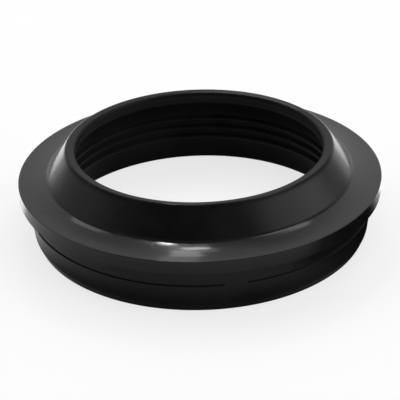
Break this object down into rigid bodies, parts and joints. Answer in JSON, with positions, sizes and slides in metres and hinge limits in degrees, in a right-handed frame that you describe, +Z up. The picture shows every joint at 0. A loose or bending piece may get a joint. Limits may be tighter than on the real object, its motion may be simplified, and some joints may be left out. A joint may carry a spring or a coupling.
{
  "type": "fork dust seal",
  "caption": "Moulded rubber ring that wipes a motorcycle fork tube: a press-in spigot, a flange that seats on the fork leg and a cone up to a thin lip.",
  "frame": {"origin": "middle of the spigot's end face, on the ring's axis", "axes": "+Z up along the ring's axis, from the spigot to the lip; the plain stretch in the spigot's groove faces -Y, a little towards +X"},
  "size_m": [0.0532, 0.0532, 0.0132],
  "materials": {
    "rubber": "satin moulded black rubber"
  },
  "bodies": {
    "root": {"dust_seal": "rubber"}
  },
  "joints": []
}
